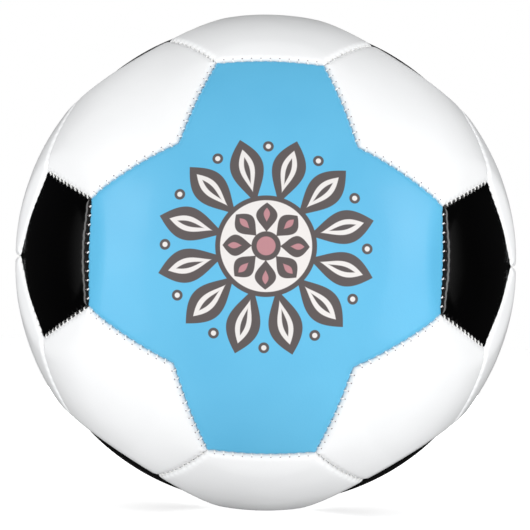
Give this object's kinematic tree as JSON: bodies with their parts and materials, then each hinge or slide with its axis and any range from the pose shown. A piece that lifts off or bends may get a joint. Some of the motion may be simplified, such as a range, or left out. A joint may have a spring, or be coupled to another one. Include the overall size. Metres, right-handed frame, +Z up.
{
  "type": "soccer ball",
  "caption": "Full-size stitched soccer ball: white hexagons, black pentagons and one wide sky-blue print panel in front, over a hollow rubber bladder with a needle valve.",
  "frame": {"origin": "on the floor under the ball's centre, at the middle of its contact with the floor", "axes": "+Z up, the print panel's middle faces -Y, +X to the right as seen from in front of that panel"},
  "size_m": [0.2192, 0.2175, 0.2165],
  "materials": {
    "white_leather": "glossy white synthetic leather with a fine grain",
    "black_leather": "glossy black synthetic leather with a fine grain",
    "blue_leather": "satin sky-blue synthetic leather with a printed ornament",
    "bladder_rubber": "matt brown-black rubber",
    "valve_rubber": "matt black rubber"
  },
  "bodies": {
    "root": {"panel_print": "blue_leather", "panel_white_01": "white_leather", "panel_white_02": "white_leather", "panel_white_03": "white_leather", "panel_white_04": "white_leather", "panel_white_05": "white_leather", "panel_white_06": "white_leather", "panel_white_07": "white_leather", "panel_white_08": "white_leather", "panel_white_09": "white_leather", "panel_white_10": "white_leather", "panel_white_11": "white_leather", "panel_white_12": "white_leather", "panel_white_13": "white_leather", "panel_white_14": "white_leather", "panel_white_15": "white_leather", "panel_white_16": "white_leather", "panel_white_17": "white_leather", "panel_white_18": "white_leather", "panel_black_01": "black_leather", "panel_black_02": "black_leather", "panel_black_03": "black_leather", "panel_black_04": "black_leather", "panel_black_05": "black_leather", "panel_black_06": "black_leather", "panel_black_07": "black_leather", "panel_black_08": "black_leather", "panel_black_09": "black_leather", "panel_black_10": "black_leather", "bladder": "bladder_rubber", "valve": "valve_rubber"}
  },
  "joints": []
}
